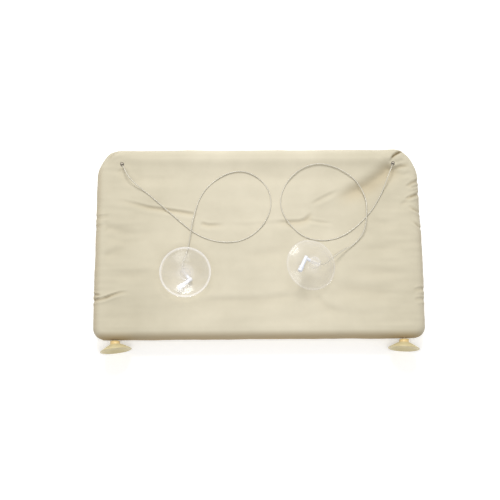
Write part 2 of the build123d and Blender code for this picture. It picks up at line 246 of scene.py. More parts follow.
def cloth_material(name, dark, light, pitch):
    """Plain weave, with threads a pitch apart along the cloth's own UV map. Painted shade makes it
    brown along the rear edge and the sides and greyer towards both ends. The second UV map, marks,
    holds the painted shade in folds and creases."""
    material, tree, shader = paint(name, light, 0.82, Sheen_Weight=0.12, Sheen_Roughness=0.5,
                                   Specular_IOR_Level=0.25)
    place = uv_place(tree)
    threads = [math_node(tree, "SINE", times(tree, part, math.pi / pitch))
               for part in split(tree, place)[:2]]
    weave = times(tree, *threads)
    slub = times(tree, noise_node(tree, place, 900, 1), 0.8)
    bump(tree, shader, math_node(tree, "ADD", weave, slub), 0.00006, 0.5)
    spot = object_place(tree)
    mottle = noise_node(tree, spot, 14, 4, 0.6)
    grained = math_node(tree, "ADD", mottle, times(tree, weave, 0.04))
    color = shade(tree, shader, grained, dark, light)

    # Painted shade: brown along the rear edge and the sides, grey towards both ends
    across, ahead, _ = split(tree, spot)
    rear = span(tree, times(tree, ahead, -1), *REAR_SHADE)
    left = span(tree, times(tree, across, -1), *LEFT_SHADE)
    right = span(tree, across, *RIGHT_SHADE)
    sides = math_node(tree, "MAXIMUM", times(tree, left, 0.45), times(tree, right, 0.25))
    edge_shade = times(tree, math_node(tree, "MAXIMUM", rear, sides),
                 math_node(tree, "ADD", times(tree, mottle, 0.5), 0.75))
    ends_shade = times(tree, span(tree, math_node(tree, "ABSOLUTE", across), *ENDS_SHADE), 0.3)
    folds, creases, _ = split(tree, uv_place(tree, "marks"))
    # All four tints are painted shade, multiplied into the cloth's colour
    for amount, tint in ((edge_shade, (0.66, 0.55, 0.41)), (ends_shade, (0.7, 0.69, 0.62)),
                         (folds, (0.9, 0.84, 0.75)), (creases, (0.3, 0.24, 0.13))):
        shade_tint = add_node(tree, "Mix", data_type="RGBA", blend_type="MULTIPLY", Factor=amount)
        put(tree, shade_tint.inputs[6], color)
        put(tree, shade_tint.inputs[7], (*tint, 1))
        color = shade_tint.outputs[2]
    put(tree, shader.inputs["Base Color"], color)
    return material


def tape_material(name, dark, light, scale):
    """Fuzzy or hooked tape."""
    material, tree, shader = paint(name, light, 0.95)
    cells = add_node(tree, "TexVoronoi", Vector=object_place(tree), Scale=scale)
    bump(tree, shader, cells, 0.0006, 0.8)
    shade(tree, shader, cells, dark, light)
    return material


def plastic_material(name, dark, light, roughness):
    """Moulded plastic with a faint flow pattern."""
    material, tree, shader = paint(name, light, roughness)
    place = object_place(tree)
    shade(tree, shader, noise_node(tree, place, 60, 3), dark, light)
    bump(tree, shader, noise_node(tree, place, 2600), 0.00003, 0.35)
    return material


def metal_material(name, dark, light, roughness, scale):
    """Turned or plated metal with fine marks."""
    material, tree, shader = paint(name, light, roughness, Metallic=1)
    marks = noise_node(tree, object_place(tree), scale, 4, 0.7)
    shade(tree, shader, marks, dark, light)
    bump(tree, shader, marks, 0.00003, 0.4)
    return material


def clear_material(name, cloudy, frost, heart):
    """Clear soft vinyl: a thin white cloud, thicker edge on, along the rim and in the solid middle,
    and a polish. The turned meshes' UV map holds the distance from the axis."""
    material, tree, shader = paint(name, (0.97, 0.95, 0.96), 0.3)
    place = object_place(tree)
    surface = bump(tree, shader, noise_node(tree, place, 45), 0.0006, 0.25)
    facing = add_node(tree, "LayerWeight", Blend=0.5).outputs["Facing"]
    radius = split(tree, uv_place(tree))[1]
    veil = times(tree, math_node(tree, "POWER", facing, 2.6), 0.5)
    for more in (times(tree, noise_node(tree, place, 55, 3), cloudy),
                 times(tree, span(tree, radius, *CUP_RIM), frost),
                 times(tree, span(tree, radius, *CUP_MIDDLE), heart)):
        veil = math_node(tree, "ADD", veil, more)
    clear = add_node(tree, "BsdfTransparent", Color=(0.99, 0.99, 0.99, 1))
    polish = add_node(tree, "BsdfAnisotropic", Color=(1, 1, 1, 1), Roughness=0.12, Normal=surface)
    mirror = times(tree, add_node(tree, "Fresnel", IOR=1.4), 0.45)
    shadow = times(tree, add_node(tree, "LightPath").outputs["Is Shadow Ray"], 0.72)
    body = add_node(tree, "MixShader", veil, clear, shader)
    whole = add_node(tree, "MixShader", mirror, body, polish)
    put(tree, tree.nodes["Material Output"].inputs["Surface"],
        add_node(tree, "MixShader", shadow, whole, clear))
    return material


def rope_material(name, dark, light):
    """Steel strands under a thin clear coat, twisted along the curve's own UV map."""
    material, tree, shader = paint(name, (0.55, 0.51, 0.43), 0.35, Metallic=0.15, Coat_Weight=0.6,
                                   Coat_Roughness=0.15)
    run, turn, _ = split(tree, uv_place(tree))
    phase = math_node(tree, "ADD", times(tree, turn, STRANDS), times(tree, run, TWISTS))
    strands = math_node(tree, "SINE", times(tree, phase, 2 * math.pi))
    bump(tree, shader, strands, 0.0001, 0.6)
    # Painted shade: darker in the grooves between the strands, lighter on their crests
    crest = times(tree, math_node(tree, "ADD", strands, 1), 0.5)
    shade(tree, shader, crest, dark, light)
    return material


LOOKS = {
    "cover_fabric": (cloth_material, (0.505, 0.462, 0.351), (0.668, 0.616, 0.486), 0.0009),
    "loop_tape": (tape_material, (0.45, 0.4, 0.29), (0.62, 0.57, 0.44), 1400),
    "hook_tape": (tape_material, (0.42, 0.38, 0.28), (0.58, 0.53, 0.41), 900),
    "frame_tube": (plastic_material, (0.78, 0.78, 0.75), (0.84, 0.84, 0.81), 0.3),
    "frame_fitting": (plastic_material, (0.74, 0.74, 0.71), (0.82, 0.82, 0.79), 0.35),
    "white_nylon": (plastic_material, (0.7, 0.72, 0.78), (0.8, 0.82, 0.87), 0.32),
    # White nylon with painted shade, darker and browner, for the bushes in their holes
    "warm_nylon": (plastic_material, (0.52, 0.46, 0.38), (0.64, 0.58, 0.49), 0.5),
    "crimp_metal": (metal_material, (0.5, 0.5, 0.51), (0.75, 0.75, 0.76), 0.35, 900),
    "brass_insert": (metal_material, (0.55, 0.4, 0.18), (0.78, 0.62, 0.32), 0.3, 1200),
    "plated_steel": (metal_material, (0.55, 0.54, 0.5), (0.78, 0.77, 0.74), 0.28, 1500),
    "amber_vinyl": (plastic_material, (0.62, 0.45, 0.19), (0.76, 0.58, 0.28), 0.35),
    "cream_vinyl": (plastic_material, (0.55, 0.47, 0.26), (0.64, 0.555, 0.325), 0.38),
    "clear_vinyl": (clear_material, 0.09, 0.05, 0.1),
    # The clear vinyl with a whiter rim, cloud and middle, for the left cup
    "scuffed_vinyl": (clear_material, 0.1, 0.18, 0.15),
    "wire_rope": (rope_material, (0.46, 0.43, 0.35), (0.77, 0.73, 0.63)),
}
MATERIALS = {name: make(name, *values) for name, (make, *values) in LOOKS.items()}


# Cables. Their control points follow the CAD model's routes in plan and lie on the sagging cloth.

ROUTES = {"left": [
    (-235.43, 144.87, 4.06), (-230.36, 131.88, 19.02), (-221.4, 113.3, 19.6), (-208, 99.5, 16.8),
    (-193.5, 89, 12.3), (-178, 76.3, 11.8), (-155.4, 55.8, 10.9), (-131, 33.6, 11.4),
    (-108.5, 14.6, 11.3), (-84.4, 2.6, 11.8), (-57, -2.4, 12), (-28.9, 0.2, 12.4), (-2.9, 15.4, 12),
    (15.6, 40, 10.9), (22.9, 66, 11.9), (18, 92, 12.1), (2.6, 111.8, 10.8), (-17.2, 123, 12),
    (-35.5, 124.8, 12.3), (-55.3, 119.6, 11.6), (-74.8, 107.4, 11.3), (-91.6, 90.4, 11.8),
    (-101.9, 71, 11.8), (-107.4, 52.3, 13), (-111.8, 33.5, 17.2), (-115.4, 8.5, 17),
    (-118.8, -10.5, 11.3), (-124.8, -29, 11), (-131.57, -44.83, 8.5), (-121.11, -58.32, 8.5),
], "right": [
    (235.43, 144.87, 4.06), (230.36, 131.88, 19.02), (222.5, 112.8, 19), (215.9, 95.4, 15.6),
    (207.6, 77, 12.7), (191.9, 51.6, 11.5), (166, 24.2, 11.4), (138.6, 5.6, 12), (107.4, -1, 12.6),
    (75.6, 5.8, 13.3), (50.6, 30.2, 11.4), (37.8, 57, 11.7), (37.8, 79.6, 11.8), (49.6, 106, 11.3),
    (69, 125.8, 12.3), (90.4, 135.4, 14.7), (112.4, 137.2, 15.2), (140.8, 128.2, 13.2),
    (164.3, 110.6, 13.9), (177.6, 92.4, 8.8), (182.4, 76, 13.3), (184.3, 60, 16.4),
    (181.9, 30, 16.8), (176.2, 11.6, 14.6), (161.5, -6.6, 12.4), (138.4, -19.4, 18),
    (119, -36, 25.5), (101.1, -51.3, 37.83), (83.57, -42.4, 42.86),
]}
CABLE_RADIUS = 0.0008


def add_cable(side, route):
    data = bpy.data.curves.new(f"{side}_wire_rope", "CURVE")
    data.dimensions = "3D"
    spline = data.splines.new("NURBS")
    spline.points.add(len(route) - 1)
    for point, place in zip(spline.points, route):
        point.co = (*(SEAT @ Vector(place)), 1)
    spline.order_u = 3
    spline.use_endpoint_u = True
    spline.resolution_u = 12
    data.bevel_depth = CABLE_RADIUS
    data.bevel_resolution = 4
    data.use_fill_caps = True
    data.materials.append(MATERIALS["wire_rope"])
    rope = add_object(f"{side}_wire_rope", data)
    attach(rope, "root")
    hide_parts(f"{side}_cable")
    return rope


add_camera()
add_floor()
add_light()
ropes = {side: add_cable(side, route) for side, route in ROUTES.items()}

SLOT_OF = {
    "cover": "cover_fabric", "loop_strip": "loop_tape", "hook_strip": "hook_tape",
    "rail": "frame_tube", "bend": "frame_fitting", "corner": "frame_fitting",
    "bush": "white_nylon", "toggle": "white_nylon", "stop": "crimp_metal",
    "insert": "brass_insert", "stud": "plated_steel", "neck": "amber_vinyl",
    "lower_cup": "cream_vinyl", "upper_cup": "clear_vinyl",
}
for name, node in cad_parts.items():
    for ending, slot in SLOT_OF.items():
        if name.endswith(ending):
            node.data.materials.clear()
            node.data.materials.append(MATERIALS[slot])


# Cover

TOP_X, TOP_Y = 320, 184  # the top's grid; the underside's is half as fine
RING_STEPS = 24  # round the edge, from the top to the underside
SLOT_REAR, SLOT_FRONT, FLAP_FRONT = -145, -118, -68
FLAP_DROP, FLAP_STEPS = 3.6, 24

# The dent round the left cup's post, the sag off the tubes and the ridge over the front one
DENT_PLACE = (-123.3, -55.5)
DENT_FLOOR, DENT_REACH, DENT_DEPTH = 11, 56, 13.2
SAG, SAG_START, SAG_RUN = 1.9, 5, 13
CROWN, CROWN_BACK, CROWN_END, CROWN_FADE = 1.6, 8, 236, 30

# Unevenness within the frame, and the small ripples at both ends: height, size along X and Y, seed
RIPPLES = ((1.5, 150, 34, 3.1), (0.5, 60, 14, 8.4))
FADE_X, FADE_Y = 40, 30
END_RIPPLE, END_START, END_FADE = (0.75, 52, 9, 5.2), 165, 70
# The same below, in front of the strips
UNDER_RISE, UNDER_RIPPLES = 0.8, ((0.9, 90, 40, 21.7), (0.3, 34, 20, 2.2))
UNDER_REAR, UNDER_REAR_FADE, UNDER_FRONT_FADE = -80, 50, 60

# How far the rounded edge swells: evenly, unevenly, along the right-hand side and at the front
# bends, about where it faces BEND_FACING degrees off X. The side seams draw it in, over an angle.
EVEN_SWELL, UNEVEN_SWELL, RIGHT_SWELL, BEND_SWELL, SEAM_ANGLE = 0.4, 0.9, 1.2, 3.4, 0.16
BEND_FACING, BEND_SPREAD = 60, 22
# The range of the folds on the edge, and the least of fold and swell together
EDGE_FOLD, EDGE_LOW = (-4.5, 2), -0.3

# Folds of the top, each a line on the seat, its depth, the widths of its two sides (to the left
# and to the right of the line's direction), the height of the lips and the shares of its length
# over which it fades in and out.
FOLDS = [
    # The broad valley from the right-hand cable hole
    ([(231.5, 137), (226, 128.2), (214.5, 117.7), (193.2, 101.5), (168.7, 89), (149.6, 80.1),
      (120, 70)], 8.2, (17, 11), 0.7, (0.08, 0.42)),
    # The hollow behind the front tube
    ([(-244, 116), (-150, 114), (-10, 113), (120, 114), (204, 117)], 1.3, (17, 20), 0, (0.2, 0.2)),
    # The sag in front of the middle of the seat
    ([(-262, 46), (-120, 42), (0, 40), (120, 42), (262, 46)], 2.2, (58, 46), 0, (0.2, 0.2)),
    # The long fine crease on the left
    ([(-249.9, 74.6), (-226.1, 71), (-204, 65.6), (-187.1, 61.1), (-166.8, 58.3), (-132.9, 52.9),
      (-100.8, 47.4)], 2.2, (2.2, 5), 0.6, (0.5, 0.12)),
    ([(-100, 33), (-92, 30.5), (-84, 28.4), (-70, 28.9), (-52, 29.6)], 2, (2.6, 4.5), 0.6,
      (0.15, 0.6)),
    ([(20, 34), (52, 33), (69.9, 34), (80, 37.6), (87.2, 44.8), (96, 52)], 2.4, (3, 7), 0.6,
      (0.5, 0.25)),
    ([(80, 37.4), (98.8, 33.9), (113, 31.8), (129.2, 30.5)], 1.1, (2.4, 3), 0.4, (0.2, 0.4)),
    ([(-64, 29), (-20, 27), (36, 31), (72, 36)], 0.9, (4, 15), 0.3, (0.3, 0.3)),
    ([(86, 62), (98, 69), (112.8, 77), (128, 84.6), (144, 92)], 1.3, (2.8, 4.2), 0.4, (0.3, 0.4)),
    # The pinch at the left-hand edge
    ([(-286, -100.5), (-273, -99), (-264, -98.7), (-255, -96.5), (-244.2, -91.9), (-231.1, -87.7),
      (-211.4, -85.3)], 2.6, (1.8, 3), 1.1, (0.02, 0.45)),
    ([(-286, -88), (-272, -90.3), (-262, -92.5)], 1.8, (1.7, 1.9), 0.9, (0.02, 0.3)),
    ([(-282, 46), (-272, 43), (-262, 43), (-250, 45)], 1.4, (2.4, 3.4), 0.8, (0.1, 0.4)),
    ([(-282, 26), (-270, 27.5), (-256, 26.5)], 1.2, (2.4, 3.4), 0.7, (0.1, 0.4)),
    # Puckers along the right-hand edge
    ([(233, 128), (240, 130.5), (248, 132.8), (257, 134.2), (263, 134.5)], 2.4, (2.8, 3.6), 0.6,
      (0.2, 0.3)),
    ([(242, 113), (257.6, 118.4), (268, 119)], 0.9, (3, 4.6), 0.4, (0.4, 0.3)),
    ([(250, 93), (258.3, 97.7), (262, 101.3), (266.8, 103.6), (275, 107.5), (286, 111)], 2.2,
      (2, 3.6), 1, (0.3, 0.05)),
    ([(258, 90.5), (264, 94), (271, 96.5), (280, 99)], 1.3, (1.8, 2.2), 0.7, (0.3, 0.1)),
    ([(248, 71), (258, 76.1), (261.4, 77.7), (265.5, 79.3), (273.5, 83.2), (286, 88)], 3.2,
      (1.8, 3.4), 1.3, (0.3, 0.05)),
    ([(238.9, 60.7), (250.2, 66.8), (262, 69)], 1.2, (2.6, 4.6), 0.4, (0.4, 0.4)),
    ([(252, 61), (259.7, 57.4), (262.8, 55.3), (266.8, 53.4), (272, 51), (284, 49)], 1.9,
      (2.2, 2.6), 0.9, (0.4, 0.1)),
    ([(258, 37), (262.8, 31.6), (267.3, 28.4), (272, 24), (283, 22)], 1.5, (2.2, 2.6), 0.8,
      (0.4, 0.1)),
    ([(256, -88), (268, -84), (282, -83)], 1.8, (2.4, 3.4), 1.1, (0.3, 0.1)),
    ([(256, -104), (268, -101), (282, -101)], 1.5, (2.4, 3.4), 0.9, (0.3, 0.1)),
    # The open fold beside the front right-hand bend: a lopsided ridge and the crevice under it
    ([(222, 138), (227.5, 146.5), (233, 153.6), (240.5, 158.2), (247, 163), (254, 163)], -2.6,
      (16, 1.8), 0, (0.25, 0.15)),
    ([(229.5, 145.5), (233.5, 150.5), (239.8, 155), (246.9, 160), (252, 160.5)], 4.5, (1.5, 2.4),
      0.6, (0.3, 0.1)),
    # The gather between the right-hand hole and the bend
    ([(236, 141), (244, 147), (252, 149)], -1.6, (5, 4), 0, (0.3, 0.4)),
    ([(-246, 156), (-250.5, 151.9), (-256, 147)], 1.6, (2, 3), 0.9, (0.2, 0.3)),
    # Soft creases over the rest of the seat
    ([(-268, 28), (-232, 18), (-196, 12)], 1.7, (7, 10), 0.2, (0.2, 0.6)),
    ([(-262, -28), (-236, -16), (-206, -12)], 1.6, (6, 10), 0.3, (0.2, 0.6)),
    ([(-246, -58), (-200, -56), (-168, -52)], 1.3, (6, 10), 0.2, (0.3, 0.4)),
    ([(-262, 8), (-225, -2), (-180, 2)], 1.2, (5, 9), 0.2, (0.2, 0.6)),
    ([(-140, -108), (-70, -103), (10, -101), (96, -94)], 1.6, (6, 14), 0.3, (0.4, 0.3)),
    ([(86, -92), (100, -104), (112, -116), (150, -130)], 1.4, (6, 10), 0.3, (0.2, 0.5)),
    ([(110, -84), (170, -88), (236, -96)], 2, (10, 16), 0.2, (0.4, 0.3)),
    ([(130, -58), (176, -52), (246, -60)], 1.6, (8, 12), 0.2, (0.4, 0.3)),
    ([(150, -20), (196, -16), (252, -6)], 1.5, (8, 12), 0.2, (0.4, 0.3)),
    ([(176, 46), (206, 30), (240, 22)], 1.3, (7, 10), 0.2, (0.4, 0.4)),
    ([(-40, -30), (20, -22), (60, -24)], 1.3, (8, 12), 0.2, (0.4, 0.4)),
    ([(-230, 118), (-180, 110), (-120, 112)], 1.2, (6, 12), 0, (0.3, 0.4)),
    ([(-236, 130), (-222, 112), (-206, 98)], 1.6, (5, 7), 0.4, (0.1, 0.5)),
]

# Where a fold's lips are and how wide, in widths of the fold
LIP_PLACE, LIP_WIDTH = 1.9, 0.8
# The depth from which a fold is shaded, and the depth that has the full shade
SHADED_DEPTH, FULL_DEPTH = 1, 5

# Painted shade: thin dark lines in the deepest folds and crevices: (line, width, strength)
CREASES = [
    ([(229.5, 145.5), (233.5, 150.5), (239.8, 155), (246.9, 160), (252, 160.5)], 1.5, 1),
    ([(233, 128), (240, 130.5), (248, 132.8), (257, 134.2)], 2.6, 0.22),
    ([(259, 98.4), (262, 101.3), (266.8, 103.6), (275, 107.5)], 1.5, 0.36),
    ([(262, 93), (267, 95.5)], 1.5, 0.18),
    ([(258, 76.1), (261.4, 77.7), (265.5, 79.3), (273.5, 83.2)], 1.5, 0.55),
    ([(261, 56.3), (266.8, 53.4), (271, 51.4)], 1.5, 0.28),
    ([(264, 30.8), (267.3, 28.4), (271.3, 24.5)], 1.5, 0.24),
    ([(-280, -99.6), (-273, -99), (-264, -98.7), (-255, -96.5), (-244.2, -91.9)], 1.5, 0.32),
    ([(-280, -89), (-272, -90.3), (-264, -92)], 1.5, 0.36),
    ([(-238, 160.5), (-246, 156), (-250.5, 151.9), (-256, 143.5)], 1.9, 0.2),
    ([(-204, 65.6), (-187.1, 61.1), (-166.8, 58.3), (-132.9, 52.9), (-100.8, 47.4)], 1.4, 0.1),
    ([(76, 36), (80, 37.6), (87.2, 44.8)], 1.2, 0.15),
]


def on_arc(centre, radius, turn):
    """A point on an arc and its direction from the centre."""
    x, y = math.cos(turn), math.sin(turn)
    return centre[0] + radius * x, centre[1] + radius * y, x, y


def outline_side(first, first_turn, last, last_turn, out, count):
    """Points and outward directions along one side of the tubes' centre line, from halfway round
    one corner, a (centre, radius), to halfway round the next. The angles are those of both ends and
    of the side's own direction outward, in degrees."""
    first_turn, last_turn, out = map(math.radians, (first_turn, last_turn, out))
    first_arc, last_arc = first[1] * math.pi / 4, last[1] * math.pi / 4
    leave, reach = on_arc(*first, out), on_arc(*last, out)
    straight = math.dist(leave[:2], reach[:2])
    points = []
    for step in range(count + 1):
        run = (first_arc + straight + last_arc) * step / count
        if run < first_arc:
            points.append(on_arc(*first, first_turn + (out - first_turn) * run / first_arc))
        elif run <= first_arc + straight:
            share = (run - first_arc) / straight
            points.append((leave[0] + (reach[0] - leave[0]) * share,
                           leave[1] + (reach[1] - leave[1]) * share, *leave[2:]))
        else:
            share = (run - first_arc - straight) / last_arc
            points.append(on_arc(*last, out + (last_turn - out) * share))
    return np.array(points)


def seat_sides(count_x, count_y):
    """The four sides of the centre line: rear and front along X, left and right along Y."""
    rear_left, rear_right, front_left, front_right = (
        ((sign * (RAIL_X - bend), way * (RAIL_Y - bend)), bend)
        for bend, way in ((REAR_BEND, -1), (FRONT_BEND, 1)) for sign in (-1, 1))
    return (outline_side(rear_left, -135, rear_right, -45, -90, count_x),
            outline_side(front_left, 135, front_right, 45, 90, count_x),
            outline_side(rear_left, 225, front_left, 135, 180, count_y),
            outline_side(rear_right, -45, front_right, 45, 0, count_y))


def filled_grid(sides):
    """A grid over the seat that meets the four sides, rows along X."""
    rear, front, left, right = (side[:, :2] for side in sides)
    across = np.linspace(0, 1, len(rear))[None, :, None]
    ahead = np.linspace(0, 1, len(left))[:, None, None]
    grid = (1 - ahead) * rear[None] + ahead * front[None]
    grid = grid + (1 - across) * left[:, None] + across * right[:, None]
    grid = grid - (1 - ahead) * ((1 - across) * rear[0] + across * rear[-1])
    return grid - ahead * ((1 - across) * front[0] + across * front[-1])


def smooth(value):
    value = np.clip(value, 0, 1)
    return value * value * (3 - 2 * value)


def beside(places, line):
    """For places on the unrolled cloth: how far they are from a line, on which side of it, with
    more than 0 on its left, and how far along it, from 0 to 1."""
    line = np.array(line, float)
    runs = np.diff(line, axis=0)
    lengths = np.hypot(*runs.T)
    starts = np.concatenate(([0], np.cumsum(lengths)))
    nearest = np.full(len(places), 1e9)
    side, along = np.zeros((2, len(places)))
    for start, run, length, passed in zip(line, runs, lengths, starts):
        offset = places - start
        share = np.clip((offset @ run) / length ** 2, 0, 1)
        far = np.hypot(*(offset - share[:, None] * run).T)
        closer = far < nearest
        nearest[closer] = far[closer]
        side[closer] = (run[0] * offset[:, 1] - run[1] * offset[:, 0])[closer]
        along[closer] = (passed + share * length)[closer] / starts[-1]
    return nearest, side, along


def fold_height(places, line, depth, widths, lip, fades):
    """The height that one fold adds at places."""
    nearest, side, along = beside(places, line)
    width = np.where(side > 0, *widths)
    valley = -depth * np.exp(-(nearest / width) ** 2)
    lips = lip * np.exp(-((nearest - LIP_PLACE * width) / (LIP_WIDTH * width)) ** 2)
    return (valley + lips) * (smooth(along / fades[0]) * smooth((1 - along) / fades[1]))


def fold_shade(places):
    """The painted shade in the folds and the painted dark lines of the creases, each from 0 to 1.
    """
    shaded = np.zeros(len(places))
    for line, depth, widths, _, fades in FOLDS:
        if depth > SHADED_DEPTH:
            steep = min(depth / min(widths), 1) * min(depth / FULL_DEPTH, 1)
            shaded = np.maximum(shaded, -fold_height(places, line, 1, widths, 0, fades) * steep)
    dark = np.zeros(len(places))
    for line, width, strength in CREASES:
        nearest, _, along = beside(places, line)
        ends = smooth(along / 0.2) * smooth((1 - along) / 0.2)
        line_dark = strength * np.exp(-(nearest / width) ** 2) * (0.25 + 0.75 * ends)
        dark = np.maximum(dark, line_dark)
    return np.column_stack((shaded, dark))


def ripple(places, size_x, size_y, seed):
    """Even noise over the cloth, from -1 to 1, with bumps of about the given sizes."""
    return np.array([noise.noise(Vector((x / size_x, y / size_y, seed))) for x, y in places])


def top_height(places):
    """How far the top stands off its plain shape, at points on the unrolled cloth."""
    across, ahead = places[:, 0], places[:, 1]
    inside = smooth((RAIL_X - np.abs(across)) / FADE_X) * smooth((RAIL_Y - np.abs(ahead)) / FADE_Y)
    off_tubes = from_tubes(places)
    clear = np.maximum(off_tubes - SAG_START, 0)
    height = -SAG * (1 - np.exp(-clear / SAG_RUN)) * (inside > 0)
    for rise, *ripples in RIPPLES:
        height += rise * inside * ripple(places, *ripples)
    rise, *ripples = END_RIPPLE
    height += rise * smooth((np.abs(across) - END_START) / END_FADE) * ripple(places, *ripples)
    middle = smooth((CROWN_END - np.abs(across)) / CROWN_FADE)
    height += CROWN * middle * np.exp(-((RAIL_Y - CROWN_BACK - ahead) / CROWN_BACK) ** 2)
    for fold in FOLDS:
        height += fold_height(places, *fold)
    from_dent = np.hypot(across - DENT_PLACE[0], ahead - DENT_PLACE[1])
    bowl = smooth((DENT_REACH - from_dent) / (DENT_REACH - DENT_FLOOR))
    height = height * (1 - bowl) - DENT_DEPTH * bowl
    near = np.minimum(off_tubes, TUBE)
    over_tube = np.sqrt(TUBE ** 2 - near ** 2) + CLOTH + 0.1 - HALF
    return np.where(near < TUBE, np.maximum(height, over_tube), height)


def bottom_height(places):
    """How far the underside stands off its plain shape. It is flat where the strips are sewn on."""
    across, ahead = places[:, 0], places[:, 1]
    inside = (smooth((RAIL_X - np.abs(across)) / FADE_X)
              * smooth((RAIL_Y - ahead) / UNDER_FRONT_FADE)
              * smooth((ahead - UNDER_REAR) / UNDER_REAR_FADE))
    return inside * sum((rise * ripple(places, *ripples) for rise, *ripples in UNDER_RIPPLES),
                        UNDER_RISE)


def from_tubes(places):
    """The distance in plan from the tubes' centre line."""
    radius = np.where(places[:, 1] > 0, FRONT_BEND, REAR_BEND)
    over = np.abs(places) - np.array((RAIL_X, RAIL_Y)) + radius[:, None]
    outside = np.hypot(*np.maximum(over, 0).T)
    return np.abs(np.minimum(over.max(axis=1), 0) + outside - radius)


def edge_swell(line, turn):
    """How far the rounded edge stands proud of its plain shape, at points and directions of the
    tubes' centre line. turn is 0 on top and pi below."""
    across, ahead = line[:, 0], line[:, 1]
    slow = ripple(line[:, :2], 60, 60, 5.5) + 0.5 * ripple(line[:, :2], 18, 18, 9.5)
    right = smooth((across - 240) / 25) * smooth((RAIL_Y - 30 - np.abs(ahead + 10)) / 90)
    facing = np.degrees(np.arctan2(line[:, 3], np.abs(line[:, 2])))
    puff = np.exp(-((facing - BEND_FACING) / BEND_SPREAD) ** 2)
    sides = smooth((np.abs(across) - 235) / 20) * (ahead < RAIL_Y - FRONT_BEND)
    seam = sides * math.exp(-((turn - math.pi / 2) / SEAM_ANGLE) ** 2)
    swell = EVEN_SWELL + UNEVEN_SWELL * slow + RIGHT_SWELL * right + BEND_SWELL * puff
    return math.sin(turn) * swell - seam


class Cloth:
    """The cover's points, unrolled places and faces as they are collected."""

    def __init__(self):
        self.points, self.flat, self.faces = [], [], []

    def add(self, points, flat):
        start = sum(map(len, self.points))
        self.points.append(points)
        self.flat.append(flat)
        return start + np.arange(len(points))

    def add_grid(self, grid, level, stand_off):
        """A grid in plan, at a level and a height off it, with faces still to come."""
        flat = grid.reshape(-1, 2)
        made = self.add(np.column_stack((flat, level + stand_off(flat))), flat)
        return made.reshape(grid.shape[:2])

    def join(self, *rows):
        """Faces with one corner from each row."""
        self.faces += np.column_stack(rows).tolist()

    def quads(self, lower, upper):
        """Faces between two rows of the same length."""
        self.join(lower[:-1], lower[1:], upper[1:], upper[:-1])


def around(rear, front, left, right):
    """Four sides of a grid, or of the centre line, as one ring."""
    return np.concatenate((rear[:-1], right[:-1], front[::-1][:-1], left[::-1][:-1]))


def border(grid):
    return around(grid[0], grid[-1], grid[:, 0], grid[:, -1])


def closed(ring):
    return np.append(ring, ring[0])


def nearest_to(values, wanted):
    return np.abs(values - wanted).argmin()


def flap_drop(ahead):
    """How far the flap hangs under the underside."""
    return FLAP_DROP * float(smooth((ahead + RAIL_Y) / (SLOT_FRONT + RAIL_Y)))


def add_edge(cloth, edge, ring):
    """The rounded edge, down from the top's outer ring of points. It returns its last ring, which
    is half as fine."""
    for step in range(1, RING_STEPS):
        fine = step <= RING_STEPS // 2
        line = edge if fine else edge[::2]
        turn = math.pi * step / RING_STEPS
        flat = line[:, :2] + line[:, 2:] * (HALF * (turn if fine else math.pi - turn))
        fold = np.clip(top_height(flat), *EDGE_FOLD) * math.cos(0.8 * turn) if fine else 0
        proud = HALF + np.maximum(edge_swell(line, turn) + fold, EDGE_LOW)
        points = np.column_stack((line[:, :2] + line[:, 2:] * (proud * math.sin(turn))[:, None],
                                  np.maximum(proud * math.cos(turn), -HALF)))
        before, ring = closed(ring), cloth.add(points, flat)
        after = closed(ring)
        if len(before) == len(after):
            cloth.quads(after, before)
        else:
            cloth.join(after[:-1], after[1:], before[2::2], before[1::2], before[:-1:2])
    return ring


def add_underside(cloth, sides, ring):
    """The underside within the edge's last ring, with the closure's slot and flap."""
    grid = filled_grid([side[::2] for side in sides])
    lower = cloth.add_grid(grid, -HALF, bottom_height)
    cloth.quads(closed(border(lower)), closed(ring))

    rows = grid[:, grid.shape[1] // 2, 1]
    rear, front = nearest_to(rows, SLOT_REAR), nearest_to(rows, SLOT_FRONT)
    columns = grid[rear, :, 0]
    first, last = nearest_to(columns, -CLOSURE_X), nearest_to(columns, CLOSURE_X)
    for index, (row, following) in enumerate(zip(lower[:-1], lower[1:])):
        if rear <= index < front:
            cloth.quads(following[:first + 1], row[:first + 1])
            cloth.quads(following[last:], row[last:])
        else:
            cloth.quads(following, row)

    across, root = columns[first:last + 1], rows[rear]
    before = lower[rear, first:last + 1]
    for step in range(1, FLAP_STEPS + 1):
        ahead = root + (FLAP_FRONT - root) * step / FLAP_STEPS
        flat = np.column_stack((across, np.full(len(across), ahead)))
        curl = 0.5 * ripple(flat, 60, 30, 12) * smooth(step / 6)
        points = np.column_stack((flat, -HALF - flap_drop(ahead) - np.abs(curl)))
        after = cloth.add(points, flat)
        cloth.quads(after, before)
        before = after


def cover_mesh():
    """The cover as a single layer, with its unrolled places and its painted fold shade as UV maps.
    """
    sides = seat_sides(TOP_X, TOP_Y)
    cloth = Cloth()
    upper = cloth.add_grid(filled_grid(sides), HALF, top_height)
    for row, following in zip(upper[:-1], upper[1:]):
        cloth.quads(row, following)
    ring = add_edge(cloth, around(*sides), border(upper))
    add_underside(cloth, sides, ring)

    points, flat = np.concatenate(cloth.points), np.concatenate(cloth.flat)
    mesh = mesh_of("fabric_cover", points.tolist(), cloth.faces)
    corners = np.zeros(len(mesh.loops), int)
    mesh.loops.foreach_get("vertex_index", corners)
    # Painted shade in the folds and creases, everywhere but the underside
    marks = fold_shade(flat) * (points[:, 2:] > -1)
    for name, values in (("UVMap", flat / 1000), ("marks", marks)):
        layer = mesh.uv_layers.new(name=name)
        layer.data.foreach_set("uv", values[corners].astype(np.float32).ravel())
    mesh.validate()
    return mesh


# Building pieces from points

